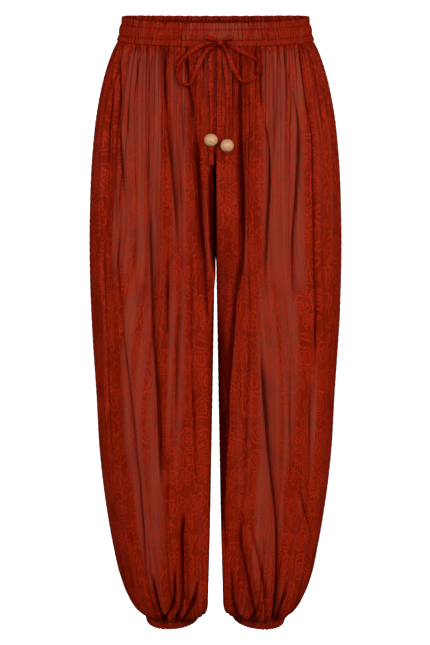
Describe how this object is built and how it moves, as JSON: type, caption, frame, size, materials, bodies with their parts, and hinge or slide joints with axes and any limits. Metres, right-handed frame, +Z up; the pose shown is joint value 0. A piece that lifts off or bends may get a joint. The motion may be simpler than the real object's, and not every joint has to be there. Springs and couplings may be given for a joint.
{
  "type": "harem pants",
  "caption": "Harem pants filled out and hollow, with gathered legs, an elastic waistband, narrow elastic cuffs and a tied drawstring ending in wooden beads.",
  "frame": {"origin": "middle of the waistband, where a wearer's waist holds the garment", "axes": "+Z up, the front faces -Y, the left of the front view is -X"},
  "size_m": [0.3902, 0.2785, 0.9505],
  "materials": {
    "cloth": "matte crinkled crepe with a tone-on-tone flower and leaf print",
    "tape": "matte tape folded from the same crepe",
    "bead": "plain pale wood, satin"
  },
  "bodies": {
    "root": {"waistband": "cloth", "leg_front_left": "cloth", "leg_front_right": "cloth", "leg_back_left": "cloth", "leg_back_right": "cloth", "cuff_left": "cloth", "cuff_right": "cloth", "drawstring_arm_left": "tape", "drawstring_arm_right": "tape", "drawstring_knot": "tape", "drawstring_loop_left": "tape", "drawstring_loop_right": "tape", "drawstring_end_left": "tape", "drawstring_end_right": "tape", "stop_knot_left": "tape", "stop_knot_right": "tape", "bead_left": "bead", "bead_right": "bead"}
  },
  "joints": []
}
